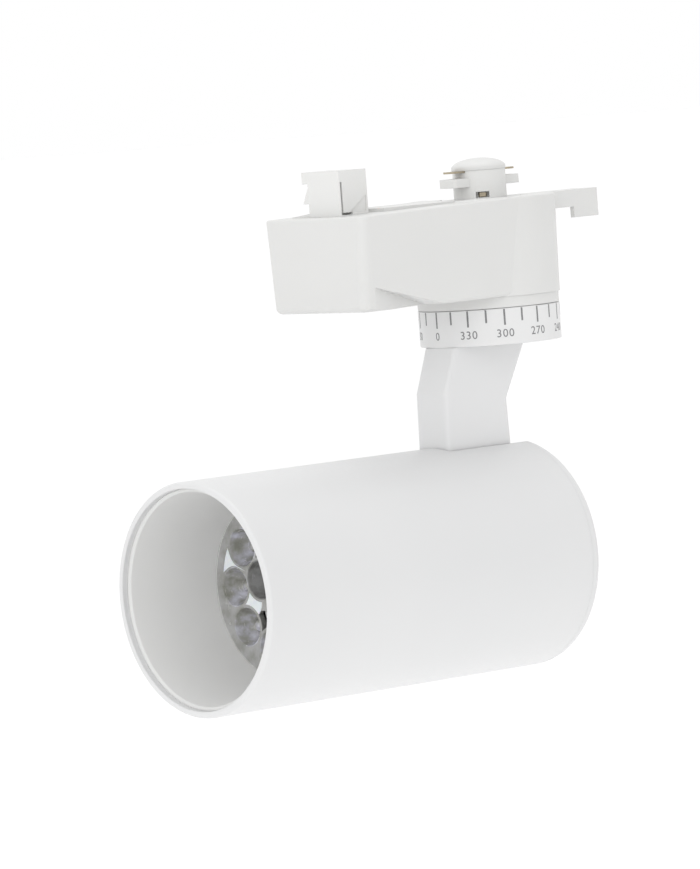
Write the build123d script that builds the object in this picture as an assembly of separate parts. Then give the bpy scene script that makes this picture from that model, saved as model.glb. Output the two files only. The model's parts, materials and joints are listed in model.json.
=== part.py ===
from build123d import *
import os
from math import cos, radians, sin

# Track-mounted spotlight. Row frame: origin on the lock knob's axis in the plane that seats against the
# track, +Z up into the track, -X the way the lamp shines, all lengths in millimetres.

os.makedirs("parts", exist_ok=True)

# --- adapter box -----------------------------------------------------------------------------------------
SEAT_Z = 0.0
TOP_Z = -0.1                    # top skin beside the lock; it falls away gently towards the tower
TOP_SLOPE = 0.02
BOX_BOTTOM_Z = -32.1
BOX_END_X = -73.0
BOX_TOP_HALF = 23.8
BOX_BOTTOM_HALF = 21.8
ROUND_TOP_R = 24.3
ROUND_BOTTOM_R = 23.7
WALL = 2.2
NEAR_CORNER_R = 3.0
FAR_CORNER_R = 1.2
BOTTOM_EDGE_R = 2.0
TOP_EDGE_R = 0.8
PAD_X = (-52.0, -17.0)
PAD_HALF = 11.0

CHIN_START = (-68.0, 22.0)      # plan points of the wall behind the undercut
CHIN_SLOPE = 0.336              # how fast that wall closes in, mm per mm of length
CHIN_END_X = -38.0
CHIN_TOP_X = -71.7
CHIN_HEIGHT = 8.5

COVER_T = 2.0
COVER_GAP = 0.1
POST_R = 3.4
CLEAR_R = 1.55                  # hole for an M3 screw
SCREW_R = 1.5
END_POST_X = -62.0
END_POST_Y = 12.0
COLLAR_SCREW_R = 18.0
COLLAR_SCREW_ANGLES = (30, 150, 270)

# --- lock: knob, lever and contacts ----------------------------------------------------------------------
WELL_R = 13.4
WELL_FLOOR_Z = -6.3
WELL_FLOOR_T = 2.3
JOURNAL_R = 6.0
RUNNING_GAP = 0.06
NECK_R = 8.7
NECK_TOP_Z = 9.1
KEY_SIZE = 10.0
LUG_REACH = 14.4
LUG_HALF = 4.0
LUG_Z = (3.8, 6.7)
BLADE_REACH = 14.0
BLADE_HALF = 2.5
BLADE_T = 0.6
CAP_R = 8.9
CAP_TOP_Z = 13.0
CAP_SIDE_H = 0.7
PEG_Y = 5.6
PEG_R = 1.2
WINDOW_ANGLE = -127.0
WINDOW_Z = (0.1, 2.0)
WINDOW_HALF = 2.2
WINDOW_DEPTH = 2.4
LEVER_TOP_Z = -0.3
LEVER_BOTTOM_Z = -5.9
LEVER_HALF = 6.0
LEVER_END_X = 47.6
LEVER_TIP_R = 1.5
FIN_LENGTH = 11.8
FIN_T = 2.4
FIN_BOTTOM_Z = -9.5
FLANGE_R = 13.2
LEVER_GAP = 0.4

# --- tower at the far end of the adapter -----------------------------------------------------------------
TOWER_X = (-67.7, -55.5)
TOWER_HALF = 7.7
TOWER_TOP_Z = 13.1
TOWER_LUG_Z = 9.3
TOWER_LUG_REACH = 3.0
BARB_Z = (2.9, 8.6)
BARB_REACH = 3.0
RAMP_REACH = 9.5
SPIGOT_DEPTH = 5.0

# --- driver inside the adapter ---------------------------------------------------------------------------
BOARD_X = (-56.5, -20.5)
BOARD_HALF = 17.0
BOARD_Z = -19.0
BOARD_T = 1.6
BOARD_SCREW_X = (-53.5, -24.0)
BOARD_SCREW_Y = (-14.0, 14.0)
TERMINAL_X = -65.5
TERMINAL_Y = (-5.2, 0.0, 5.2)

# --- rotary joint under the adapter ----------------------------------------------------------------------
RING_R = 23.2
RING_WALL = 2.0
COLLAR_BOTTOM_Z = -35.6
RING_TOP_Z = -35.75
RING_BOTTOM_Z = -47.6
FOOT_R = 18.5
FOOT_TOP_Z = -43.6
HUB_R = 20.5
HUB_TOP_Z = -40.6
BOSS_R = 12.0
BOSS_BOTTOM_Z = -39.6
SPIGOT_R = 14.0
SPIGOT_TOP_Z = -28.5
STUD_R = 5.0
STUD_BORE_R = 3.2
STUD_TOP_Z = -22.5
STOP_PITCH_R = 15.5
STOP_PIN_R = 1.2
HUB_SCREW_R = 15.5
HUB_SCREW_ANGLES = (45, 135, 225, 315)

# --- arm and tilt joint ----------------------------------------------------------------------------------
PIVOT_X = -14.8
PIVOT_Z = -102.4
ARM_HALF = 7.5
ARM_END_R = 13.5
ARM_FOOT_HALF = 14.1
ARM_BEND_FRONT = (-28.4, -62.0)
ARM_BEND_REAR = (-1.1, -65.8)
ARM_TOP_FRONT_X = -23.0
ARM_TOP_REAR_X = 8.8
ARM_EDGE_R = 1.6
PIN_R = 3.0
TILT_WASHER_T = 1.0
CHEEK_IN = 8.7
SHEET_T = 2.0

# --- lamp head -------------------------------------------------------------------------------------------
HEAD_Z = -117.2
FRONT_X = -134.1
REAR_X = 7.7
TUBE_R = 37.5
TUBE_IN_R = 35.3
FRONT_EDGE_R = 1.2
REAR_EDGE_R = 3.0
CAP_SEAM_X = 3.7
SLOT_HALF = 8.5
SLOT_END_X = -29.5
SLOT_FLOOR_Z = -116.9
LIP_X = -132.0
LIP_IN_R = 34.1
LENS_X = -100.1
LENS_R = 29.4
LENS_T = 2.0
CONE_EXIT_R = 29.2
CONE_FLANGE_T = 1.2
SINK_FRONT_X = -84.0
SINK_BASE_T = 6.0
SINK_REAR_X = -33.9
FIN_T = 1.8
FIN_PITCH = 6.0
LED_SIZE = 3.0
LED_T = 0.8
CELL_R = 6.45
CELL_TIP_R = 2.9
OUTER_CELLS = 9
OUTER_CELL_PITCH_R = 19.8
INNER_CELLS = 3
INNER_CELL_PITCH_R = 7.55
INNER_CELL_START = 20.0
TUBE_SCREW_ANGLES = (180, 115)
CAP_SCREW_Y = 12.0
CAP_SCREW_Z = -127.0

UP = (Align.CENTER, Align.CENTER, Align.MIN)


def disc(radius, z0, z1, x=0.0, y=0.0):
    """Solid cylinder standing along Z."""
    return Pos(x, y, z0) * Cylinder(radius, z1 - z0, align=UP)


def ring(outer, inner, z0, z1):
    """Hollow cylinder along Z."""
    return disc(outer, z0, z1) - disc(inner, z0 - 1, z1 + 1)


def disc_x(radius, x0, x1, y=0.0, z=HEAD_Z):
    """Solid cylinder lying along X."""
    return Pos(x0, y, z) * Rot(0, 90, 0) * Cylinder(radius, x1 - x0, align=UP)


def ring_x(outer, inner, x0, x1):
    """Hollow cylinder along the lamp's own axis."""
    return disc_x(outer, x0, x1) - disc_x(inner, x0 - 1, x1 + 1)


def disc_y(radius, y0, y1, x=PIVOT_X, z=PIVOT_Z):
    """Solid cylinder lying along Y."""
    return Pos(x, y0, z) * Rot(-90, 0, 0) * Cylinder(radius, y1 - y0, align=UP)


def block(x0, x1, y0, y1, z0, z1):
    """Box between two corners."""
    return Pos(x0, y0, z0) * Box(x1 - x0, y1 - y0, z1 - z0, align=(Align.MIN,) * 3)


def side_prism(points, y0, y1):
    """Polygon of (x, z) points, swept from y0 to y1."""
    face = make_face(Polyline(*[(x, y0, z) for x, z in points], close=True))
    return extrude(face, amount=y1 - y0, dir=(0, 1, 0))


def end_prism(points, x0, x1):
    """Polygon of (y, z) points, swept from x0 to x1."""
    face = make_face(Polyline(*[(x0, y, z) for y, z in points], close=True))
    return extrude(face, amount=x1 - x0, dir=(1, 0, 0))


def plan_prism(points, z0, z1):
    """Polygon of (x, y) points, swept from z0 to z1."""
    face = make_face(Polyline(*[(x, y, z0) for x, y in points], close=True))
    return extrude(face, amount=z1 - z0, dir=(0, 0, 1))


def rod(start, end, radius):
    """Cylinder between two points, rounded at its end."""
    axis = Vector(*end) - Vector(*start)
    shaft = Plane(origin=start, z_dir=axis) * Cylinder(radius, axis.length, align=UP)
    return shaft + Pos(*end) * Sphere(radius)


def polar(radius, angle):
    """Point on a circle in plan."""
    return radius * cos(radians(angle)), radius * sin(radians(angle))


def screw(length, head_r, head_h, countersunk=False):
    """Cross-head screw pointing down from z = 0, its head above that or sunk below it."""
    if countersunk:
        head = Pos(0, 0, -head_h) * Cone(SCREW_R, head_r, head_h, align=UP)
        top = 0.0
    else:
        head = disc(head_r, 0, head_h)
        head = fillet(head.edges().sort_by(Axis.Z)[-1], 0.4 * head_h)
        top = head_h
    body = head + disc(SCREW_R, -length, 0)
    bar = block(-0.6 * head_r, 0.6 * head_r, -0.35, 0.35, top - 0.9, top + 1)
    return body - bar - Rot(0, 0, 90) * bar


def save(name, shape):
    """Write one node."""
    export_step(shape, f"parts/{name}.step")


def group(name, solids):
    """Write one node made of separate solids."""
    save(name, Compound(children=list(solids)))


# --- adapter ---------------------------------------------------------------------------------------------
def drafted_box(inset, x_end, x_stop, z_top):
    """The adapter's box with sloping sides, drawn in by an inset."""
    profile = [
        (-BOX_TOP_HALF + inset, z_top),
        (BOX_TOP_HALF - inset, z_top),
        (BOX_BOTTOM_HALF - inset, BOX_BOTTOM_Z),
        (-BOX_BOTTOM_HALF + inset, BOX_BOTTOM_Z),
    ]
    return end_prism(profile, x_end, x_stop)


def chin_wedge(side, margin):
    """What the undercut removes on one side, grown by a margin."""
    x0, y0 = CHIN_START
    x1 = CHIN_END_X + 2
    y1 = y0 - CHIN_SLOPE * (x1 - x0)
    start = x0 - margin
    plan = [(start, side * (y0 - margin)), (x1, side * (y1 - margin)), (x1, side * 30), (start, side * 30)]
    rise = CHIN_HEIGHT / (CHIN_END_X - CHIN_TOP_X)
    low = BOX_BOTTOM_Z - 1
    profile = [
        (CHIN_TOP_X, BOX_BOTTOM_Z + CHIN_HEIGHT + margin),
        (CHIN_END_X + margin / rise + 1 / rise, low),
        (CHIN_TOP_X, low),
    ]
    return plan_prism(plan, low, TOP_Z) & side_prism(profile, -30, 30)


def post_places():
    """Where screws hold the bottom of the adapter."""
    places = [polar(COLLAR_SCREW_R, angle) for angle in COLLAR_SCREW_ANGLES]
    return places + [(END_POST_X, END_POST_Y), (END_POST_X, -END_POST_Y)]


def skin_z(x):
    """Height of the adapter's top skin."""
    return TOP_Z + TOP_SLOPE * min(x, 0.0)


def above_skin():
    """The space over the sloping part of the adapter's top."""
    x0 = BOX_END_X - 5
    return side_prism([(x0, skin_z(x0)), (0, TOP_Z), (0, 30), (x0, 30)], -40, 40)


def cavity():
    """Inside of the adapter, open at the bottom."""
    hollow = drafted_box(WALL, BOX_END_X + WALL, -WELL_R - WALL, TOP_Z - WALL)
    hollow += disc(ROUND_BOTTOM_R - WALL, BOX_BOTTOM_Z, WELL_FLOOR_Z - WELL_FLOOR_T)
    low_box = drafted_box(WALL, BOX_END_X + WALL, 0, TOP_Z - WALL)
    hollow += low_box & block(-40, 0, -30, 30, BOX_BOTTOM_Z, WELL_FLOOR_Z - WELL_FLOOR_T)
    for side in (-1, 1):
        hollow -= chin_wedge(side, WALL)
    return hollow - Pos(0, 0, -WALL) * above_skin()


def lever_recess():
    """Quarter-turn space the lever sweeps in the round end."""
    reach = 30.0
    half = LEVER_HALF + LEVER_GAP
    top = SEAT_Z + 1
    quarter = disc(reach, WELL_FLOOR_Z, top) & block(0, reach, 0, reach, WELL_FLOOR_Z, top)
    along_x = block(0, reach, -half, half, WELL_FLOOR_Z, top)
    along_y = block(-half, half, 0, reach, WELL_FLOOR_Z, top)
    return quarter + along_x + along_y + disc(WELL_R, WELL_FLOOR_Z, top)


def adapter_shell():
    box = drafted_box(0, BOX_END_X, 0, TOP_Z) - above_skin()
    upright = box.edges().filter_by(lambda e: abs(e.center().X - BOX_END_X) < 0.01 and abs(e.center().Y) > 20)
    box = fillet(upright.sort_by(Axis.Y)[0], NEAR_CORNER_R)
    upright = box.edges().filter_by(lambda e: abs(e.center().X - BOX_END_X) < 0.01 and e.center().Y > 20)
    box = fillet(upright, FAR_CORNER_R)
    low_edges = box.edges().filter_by(lambda e: abs(e.center().Z - BOX_BOTTOM_Z) < 0.01 and e.center().X < -1)
    box = fillet(low_edges, BOTTOM_EDGE_R)
    high_edges = box.edges().filter_by(lambda e: e.center().Z > -3 and e.center().X < -1)
    box = fillet(high_edges, TOP_EDGE_R)
    end = Pos(0, 0, BOX_BOTTOM_Z) * Cone(ROUND_BOTTOM_R, ROUND_TOP_R, TOP_Z - BOX_BOTTOM_Z, align=UP)
    end = fillet(end.edges().sort_by(Axis.Z)[-1], TOP_EDGE_R)
    shell = box + end
    for side in (-1, 1):
        shell -= chin_wedge(side, 0)
    shell -= cavity()
    for x, y in post_places():
        ceiling = WELL_FLOOR_Z - WELL_FLOOR_T if x > -30 else skin_z(x) - WALL
        shell += disc(POST_R, BOX_BOTTOM_Z + COVER_T + COVER_GAP, ceiling + 0.5, x, y)
        shell -= disc(CLEAR_R, BOX_BOTTOM_Z, BOX_BOTTOM_Z + 16, x, y)
    shell += block(*PAD_X, -PAD_HALF, PAD_HALF, TOP_Z - WALL + 0.1, SEAT_Z)
    shell -= lever_recess()
    shell -= disc(JOURNAL_R + RUNNING_GAP, WELL_FLOOR_Z - WELL_FLOOR_T - 1, WELL_FLOOR_Z + 1)
    x0, x1 = TOWER_X
    shell -= block(x0 + 1.7, x1 - 1.5, -6.05, 6.05, skin_z(x0) - WALL - 1, TOP_Z + 1)
    return shell


def bottom_cover():
    z0, z1 = BOX_BOTTOM_Z, BOX_BOTTOM_Z + COVER_T
    outline = section(cavity(), section_by=Plane.XY.offset(z0 + COVER_T / 2))
    plate = extrude(offset(outline.face(), -COVER_GAP), amount=COVER_T / 2, both=True)
    plate -= disc(SPIGOT_R + 0.1, z0 - 1, z1 + 1)
    for x, y in post_places():
        plate -= disc(CLEAR_R, z0 - 1, z1 + 1, x, y)
    for y in (-END_POST_Y, END_POST_Y):
        plate -= Pos(END_POST_X, y, z0) * Cone(3.2, CLEAR_R, 1.6, align=UP)
    return plate


def bearing_collar():
    collar = disc(RING_R, COLLAR_BOTTOM_Z, BOX_BOTTOM_Z)
    collar += disc(SPIGOT_R, BOX_BOTTOM_Z, SPIGOT_TOP_Z)
    collar += disc(BOSS_R, BOSS_BOTTOM_Z, COLLAR_BOTTOM_Z)
    stop = (STOP_PITCH_R - 1.5, STOP_PITCH_R + 1.5, -1.4, 1.4)
    collar += block(*stop, BOSS_BOTTOM_Z + 1, COLLAR_BOTTOM_Z + 0.5)
    collar -= disc(STUD_R + RUNNING_GAP, BOSS_BOTTOM_Z - 1, SPIGOT_TOP_Z + 1)
    for angle in COLLAR_SCREW_ANGLES:
        x, y = polar(COLLAR_SCREW_R, angle)
        collar -= disc(CLEAR_R, COLLAR_BOTTOM_Z - 1, BOX_BOTTOM_Z + 1, x, y)
        collar -= disc(3.0, COLLAR_BOTTOM_Z - 1, COLLAR_BOTTOM_Z + 1.9, x, y)
    return collar


def collar_screws():
    for angle in COLLAR_SCREW_ANGLES:
        x, y = polar(COLLAR_SCREW_R, angle)
        yield Pos(x, y, COLLAR_BOTTOM_Z + 1.9) * Rot(180, 0, 0) * screw(14, 2.8, 1.7)


def cover_screws():
    for y in (-END_POST_Y, END_POST_Y):
        yield Pos(END_POST_X, y, BOX_BOTTOM_Z) * Rot(180, 0, 0) * screw(12, 3.0, 1.4, countersunk=True)


def tower_insert():
    x0, x1 = TOWER_X
    h = TOWER_HALF
    body = block(x0, x1, -h, h, TOP_Z - 3, TOWER_TOP_Z)
    body = fillet(body.edges().filter_by(Axis.Z), 0.5) & above_skin()
    body += block(x0 + 1.75, x1 - 1.55, -6, 6, TOP_Z - SPIGOT_DEPTH, TOP_Z)
    body += block(x0 + 0.5, x1 - 0.5, h - 1, h + TOWER_LUG_REACH, TOWER_LUG_Z, TOWER_TOP_Z)
    ramp = [(h - 1, -3), (h + RAMP_REACH, -3), (h + RAMP_REACH, -1.2), (h - 1, 0.0)]
    body += end_prism(ramp, x0 + 1.0, x1 - 2.0) & above_skin()
    low, high = BARB_Z
    body += end_prism([(h - 1, low), (h + BARB_REACH, low), (h, high), (h - 1, high)], x0 + 0.5, x1 - 0.5)
    # latch tongue on the near side: a slot beside it, a slot under it and a shallow thumb scoop
    body -= block(x0 + 0.7, x0 + 1.4, -h - 1, -h + 3, -0.7, 9.5)
    body -= block(x0 + 0.7, x0 + 5.3, -h - 1, -h + 3, -1.1, -0.4)
    scoop = end_prism([(-h - 1, -0.4), (-h + 0.5, -0.4), (-h + 0.1, 4.6), (-h - 1, 4.6)], x0 + 2, x1 - 1.0)
    body -= scoop & side_prism([(x0 + 4.0, -0.4), (x1 - 1.0, -0.4), (x1 - 1.0, 4.6)], -h - 1, -h + 3)
    # cross slot that holds the contact leaves
    body -= block(x1 - 4.2, x1 - 3.5, -5, 5, TOP_Z - SPIGOT_DEPTH - 1, 8.0)
    return body


def tower_contacts():
    x = TOWER_X[1] - 4.15
    for y0 in (-4.6, 1.2):
        yield block(x, x + 0.6, y0, y0 + 3.4, TOP_Z - SPIGOT_DEPTH - 4, 7.8)


def terminal_block():
    body = block(TERMINAL_X - 3, TERMINAL_X + 3, -8, 8, -15, -7)
    for y in TERMINAL_Y:
        body -= disc(CLEAR_R, -16, -8.5, TERMINAL_X, y)
    return body


def terminal_screws():
    for y in TERMINAL_Y:
        yield Pos(TERMINAL_X, y, -15) * Rot(180, 0, 0) * screw(5, 2.3, 1.2)


def board_corners():
    """Screw places of the driver board."""
    return [(x, y) for x in BOARD_SCREW_X for y in BOARD_SCREW_Y]


def driver_board():
    board = block(*BOARD_X, -BOARD_HALF, BOARD_HALF, BOARD_Z, BOARD_Z + BOARD_T)
    for x, y in board_corners():
        board -= disc(CLEAR_R, BOARD_Z - 1, BOARD_Z + BOARD_T + 1, x, y)
    return board


def board_standoffs():
    for x, y in board_corners():
        post = disc(2.8, BOARD_Z + BOARD_T, skin_z(x - 3) - WALL, x, y)
        yield post - disc(CLEAR_R, BOARD_Z, BOARD_Z + 9, x, y)


def board_screws():
    for x, y in board_corners():
        yield Pos(x, y, BOARD_Z) * Rot(180, 0, 0) * screw(6, 2.6, 1.3)


def driver_transformer():
    z = BOARD_Z + BOARD_T
    core = block(-36, -22, -8, 8, z, z + 10)
    core -= block(-34, -24, -9, 9, z + 2.2, z + 7.8)
    bobbin = block(-33.9, -24.1, -6.5, 6.5, z + 2.3, z + 7.7)
    return core, bobbin


def driver_capacitor():
    body = disc_x(5.5, -51, -38, y=6.5, z=BOARD_Z + BOARD_T + 5.6)
    return fillet(body.edges(), 0.5)


def driver_inductor():
    z = BOARD_Z + BOARD_T
    return disc(5.2, z, z + 8, -44, -8) - disc(1.6, z + 2, z + 9, -44, -8)


# --- lock ------------------------------------------------------------------------------------------------
def lock_core():
    core = disc(NECK_R, LEVER_TOP_Z + 0.05, NECK_TOP_Z)
    key = KEY_SIZE / 2
    core += block(-key, key, -key, key, WELL_FLOOR_Z + 0.1, LEVER_TOP_Z + 0.1)
    core += disc(JOURNAL_R, WELL_FLOOR_Z - WELL_FLOOR_T - 0.05, WELL_FLOOR_Z + 0.1)
    core += disc(STUD_R, -11.0, WELL_FLOOR_Z - WELL_FLOOR_T - 0.05)
    lug = block(-LUG_REACH, LUG_REACH, -LUG_HALF, LUG_HALF, *LUG_Z)
    core += fillet(lug.edges().filter_by(Axis.Z), 1.0)
    slot = BLADE_HALF + 0.05
    core -= block(-NECK_R - 1, NECK_R + 1, -slot, slot, NECK_TOP_Z - BLADE_T, NECK_TOP_Z + 1)
    for y in (-PEG_Y, PEG_Y):
        core -= disc(PEG_R + 0.05, NECK_TOP_Z - 3.1, NECK_TOP_Z + 1, 0, y)
    window = block(NECK_R - WINDOW_DEPTH, NECK_R + 1, -WINDOW_HALF, WINDOW_HALF, *WINDOW_Z)
    core -= Rot(0, 0, WINDOW_ANGLE) * window
    core -= disc(CLEAR_R, -12, -2, 0, 0)
    return core


def lock_cap():
    shoulder = NECK_TOP_Z + CAP_SIDE_H
    cap = disc(CAP_R, NECK_TOP_Z, shoulder)
    for y in (-PEG_Y, PEG_Y):
        cap += disc(PEG_R, NECK_TOP_Z - 3, NECK_TOP_Z + 0.5, 0, y)
    base = Polyline((0, 0, CAP_TOP_Z), (0, 0, shoulder), (CAP_R, 0, shoulder))
    crown = Plane.XZ * EllipticalCenterArc((0, shoulder), CAP_R, CAP_TOP_Z - shoulder, arc_size=90)
    return cap + revolve(make_face([base, crown]), Axis.Z)


def contact_blades():
    for side in (-1, 1):
        x0, x1 = sorted((side * 1.5, side * BLADE_REACH))
        blade = block(x0, x1, -BLADE_HALF, BLADE_HALF, NECK_TOP_Z - BLADE_T, NECK_TOP_Z)
        tip = blade.edges().filter_by(Axis.Z).sort_by(lambda e: side * e.center().X)[-2:]
        yield fillet(tip, 1.2)


def side_contact():
    low, high = WINDOW_Z
    leaf = block(NECK_R - WINDOW_DEPTH, NECK_R - 0.9, -1.2, 1.5, low + 0.25, high - 0.25)
    bent = leaf.edges().filter_by(Axis.Z).sort_by(Axis.X)[-2:]
    return Rot(0, 0, WINDOW_ANGLE) * fillet(bent, 0.6)


def lock_lever():
    z0, z1 = LEVER_BOTTOM_Z, LEVER_TOP_Z
    lever = disc(FLANGE_R, z0, z1) + block(0, LEVER_END_X, -LEVER_HALF, LEVER_HALF, z0, z1)
    # finger fin hanging from the near edge of the lever's tip
    lever += block(LEVER_END_X - FIN_LENGTH, LEVER_END_X, -LEVER_HALF, FIN_T - LEVER_HALF, FIN_BOTTOM_Z, z1)
    corners = lever.edges().filter_by(Axis.Z).filter_by(lambda e: e.center().X > LEVER_END_X - 0.01)
    lever = fillet(corners.filter_by(lambda e: abs(e.center().Y) > LEVER_HALF - 0.01), LEVER_TIP_R)
    half = KEY_SIZE / 2 + 0.05
    return lever - block(-half, half, -half, half, z0 - 1, z1 + 1)


def lock_retainer():
    z1 = WELL_FLOOR_Z - WELL_FLOOR_T - 0.1
    return ring(9.0, STUD_R + 0.05, z1 - 1.0, z1)


def lock_screw():
    return Pos(0, 0, -11) * Rot(180, 0, 0) * screw(7, 6.5, 1.6)


# --- turntable -------------------------------------------------------------------------------------------
def dial_ring():
    body = ring(RING_R, RING_R - RING_WALL, RING_BOTTOM_Z, RING_TOP_Z)
    body += ring(RING_R, FOOT_R + 0.05, RING_BOTTOM_Z, FOOT_TOP_Z)
    rims = body.edges().filter_by(GeomType.CIRCLE).filter_by(lambda e: abs(e.radius - RING_R) < 0.01)
    return fillet(rims, 0.25)


def arm():
    profile = [
        (ARM_TOP_FRONT_X, RING_BOTTOM_Z),
        ARM_BEND_FRONT,
        (PIVOT_X - ARM_FOOT_HALF, HEAD_Z + TUBE_R),
        (PIVOT_X - ARM_END_R, PIVOT_Z),
        (PIVOT_X + ARM_END_R, PIVOT_Z),
        (PIVOT_X + ARM_FOOT_HALF, HEAD_Z + TUBE_R),
        ARM_BEND_REAR,
        (ARM_TOP_REAR_X, RING_BOTTOM_Z),
    ]
    body = side_prism(profile, -ARM_HALF, ARM_HALF) + disc_y(ARM_END_R, -ARM_HALF, ARM_HALF)
    flanks = body.faces().filter_by(Axis.Y)
    body = fillet(flanks.edges().filter_by(lambda e: e.center().Z < RING_BOTTOM_Z - 0.5), ARM_EDGE_R)
    body += disc(FOOT_R, RING_BOTTOM_Z, FOOT_TOP_Z)
    route = [(0, -50), (PIVOT_X, -68), (PIVOT_X, -84), (-34, -94)]
    body -= disc(STUD_BORE_R, -50, FOOT_TOP_Z + 1)
    for (xa, za), (xb, zb) in zip(route, route[1:]):
        body -= rod((xa, 0, za), (xb, 0, zb), STUD_BORE_R)
    body -= disc_y(PIN_R + RUNNING_GAP, -ARM_HALF - 1, ARM_HALF + 1)
    for angle in HUB_SCREW_ANGLES:
        x, y = polar(HUB_SCREW_R, angle)
        body -= disc(CLEAR_R, RING_BOTTOM_Z + 0.5, FOOT_TOP_Z + 1, x, y)
    return body


def turn_hub():
    hub = disc(HUB_R, FOOT_TOP_Z, HUB_TOP_Z) + disc(STUD_R, HUB_TOP_Z, STUD_TOP_Z)
    hub -= disc(STUD_BORE_R, FOOT_TOP_Z - 1, STUD_TOP_Z + 1)
    for angle in HUB_SCREW_ANGLES:
        x, y = polar(HUB_SCREW_R, angle)
        hub -= disc(CLEAR_R, FOOT_TOP_Z - 1, HUB_TOP_Z + 1, x, y)
        hub -= Pos(x, y, HUB_TOP_Z - 1.6) * Cone(CLEAR_R, 3.15, 1.6, align=UP)
    x = -STOP_PITCH_R
    return hub - disc(STOP_PIN_R, HUB_TOP_Z - 2, HUB_TOP_Z + 1, x, 0)


def hub_screws():
    for angle in HUB_SCREW_ANGLES:
        x, y = polar(HUB_SCREW_R, angle)
        yield Pos(x, y, HUB_TOP_Z) * screw(6, 3.0, 1.5, countersunk=True)


def stop_pin():
    pin = disc(STOP_PIN_R, HUB_TOP_Z - 2, -37.0, -STOP_PITCH_R, 0)
    return chamfer(pin.edges().sort_by(Axis.Z)[-1], 0.3)


def dial_friction_washer():
    return ring(BOSS_R - 0.2, STUD_R + 0.05, HUB_TOP_Z, BOSS_BOTTOM_Z - 0.05)


def stud_washer():
    return ring(8.0, STUD_R + 0.05, SPIGOT_TOP_Z + 0.05, SPIGOT_TOP_Z + 1.05)


def stud_nut():
    z0 = SPIGOT_TOP_Z + 1.1
    body = extrude(Pos(0, 0, z0) * RegularPolygon(7.5, 6), amount=3.5)
    return body - disc(STUD_R + 0.02, z0 - 1, z0 + 5)


# --- lamp head -------------------------------------------------------------------------------------------
def arm_slot():
    """Opening that lets the arm through the head's top and rear."""
    cut = block(SLOT_END_X, REAR_X + 1, -SLOT_HALF, SLOT_HALF, SLOT_FLOOR_Z, HEAD_Z + TUBE_R + 5)
    return fillet(cut.edges().filter_by(Axis.Z).sort_by(Axis.X)[:2], 1.0)


def front_rim(body, radius):
    """Circular edge of a given radius on the tube's front face."""
    circles = body.edges().filter_by(GeomType.CIRCLE)
    return circles.filter_by(lambda e: e.center().X < FRONT_X + 0.01 and abs(e.radius - radius) < 0.01)


def lamp_tube():
    body = ring_x(TUBE_R, TUBE_IN_R, FRONT_X, CAP_SEAM_X)
    body = fillet(front_rim(body, TUBE_R), FRONT_EDGE_R)
    body = fillet(front_rim(body, TUBE_IN_R), 0.4)
    for angle in TUBE_SCREW_ANGLES:
        body -= radial(angle) * disc(CLEAR_R, TUBE_IN_R - 1, TUBE_R + 1)
        body -= radial(angle) * Pos(0, 0, TUBE_R - 1.6) * Cone(CLEAR_R + 0.05, 3.3, 1.7, align=UP)
    return body - arm_slot()


def radial(angle):
    """Frame at the heat sink's base whose Z points outwards, turned from straight up about the lamp axis."""
    return Pos(SINK_FRONT_X + SINK_BASE_T / 2, 0, HEAD_Z) * Rot(-angle, 0, 0)


def tube_screws():
    for angle in TUBE_SCREW_ANGLES:
        yield radial(angle) * Pos(0, 0, TUBE_R - 0.1) * screw(8, 3.0, 1.4, countersunk=True)


def rear_cap():
    plate = disc_x(TUBE_R, CAP_SEAM_X, REAR_X)
    plate = fillet(plate.edges().sort_by(Axis.X)[-1], REAR_EDGE_R)
    plate += ring_x(TUBE_IN_R - 0.1, TUBE_IN_R - 2.6, CAP_SEAM_X - 7, CAP_SEAM_X)
    plate -= arm_slot()
    for y in (-CAP_SCREW_Y, CAP_SCREW_Y):
        plate -= disc_x(CLEAR_R, CAP_SEAM_X - 1, REAR_X + 1, y, CAP_SCREW_Z)
        plate -= disc_x(3.0, REAR_X - 1.6, REAR_X + 1, y, CAP_SCREW_Z)
    return plate


def cap_screws():
    for y in (-CAP_SCREW_Y, CAP_SCREW_Y):
        yield Pos(REAR_X - 1.6, y, CAP_SCREW_Z) * Rot(0, 90, 0) * screw(6, 2.8, 1.5)


def heat_sink():
    body = disc_x(TUBE_IN_R - 0.1, SINK_FRONT_X, SINK_FRONT_X + SINK_BASE_T)
    body += disc_x(10.0, SINK_FRONT_X + SINK_BASE_T, SINK_REAR_X)
    body += disc_x(18.0, SINK_REAR_X - 4, SINK_REAR_X)
    envelope = disc_x(TUBE_IN_R - 1.3, SINK_FRONT_X, SINK_REAR_X - 4)
    for step in range(-5, 6):
        y = step * FIN_PITCH
        fin = block(SINK_FRONT_X + 1, SINK_REAR_X - 4, y - FIN_T / 2, y + FIN_T / 2, HEAD_Z - 40, HEAD_Z + 40)
        body += fin & envelope
    for y, z in bracket_holes():
        body -= disc_x(CLEAR_R, SINK_REAR_X - 7, SINK_REAR_X + 1, y, z)
    for y, z in led_board_holes():
        body -= disc_x(CLEAR_R, SINK_FRONT_X - 1, SINK_FRONT_X + 5, y, z)
    for angle in TUBE_SCREW_ANGLES:
        body -= radial(angle) * disc(CLEAR_R, TUBE_R - 9, TUBE_R)
    return body


def bracket_holes():
    """Screw places on the heat sink's rear pad."""
    return [(y, HEAD_Z + z) for y in (-11.5, 11.5) for z in (-8.0, 8.0)]


def led_board_holes():
    """Screw places around the LED board, between the outer cells."""
    places = [polar(24.5, angle) for angle in (20, 140, 260)]
    return [(x, HEAD_Z + y) for x, y in places]


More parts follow.
